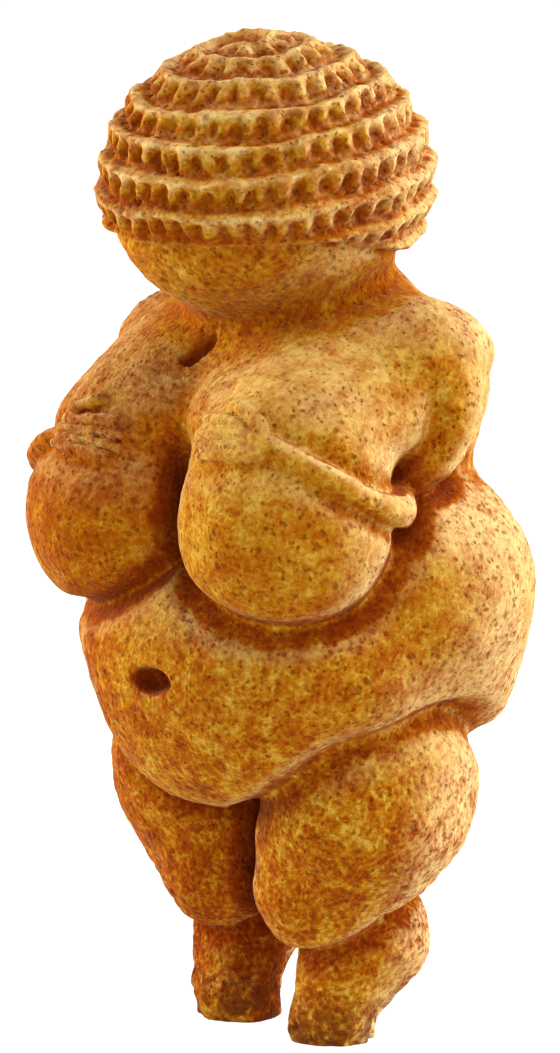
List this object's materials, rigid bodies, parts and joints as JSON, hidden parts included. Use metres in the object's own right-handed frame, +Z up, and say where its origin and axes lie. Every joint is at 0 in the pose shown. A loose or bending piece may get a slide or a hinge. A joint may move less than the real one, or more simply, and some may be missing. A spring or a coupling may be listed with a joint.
{
  "type": "venus figurine",
  "caption": "Small carved stone figure of a stout standing woman with a bowed, faceless head in a cap of knotted coils.",
  "frame": {"origin": "middle of the figure's outline seen from above, on the plane under its legs", "axes": "+Z up along the figure's height; the figure faces -Y, with her left side at +X"},
  "size_m": [0.0558, 0.0452, 0.1099],
  "materials": {
    "stone": "grainy yellow limestone rubbed with red ochre, matt, worn smooth on the high places"
  },
  "bodies": {
    "root": {"figurine": "stone"}
  },
  "joints": []
}
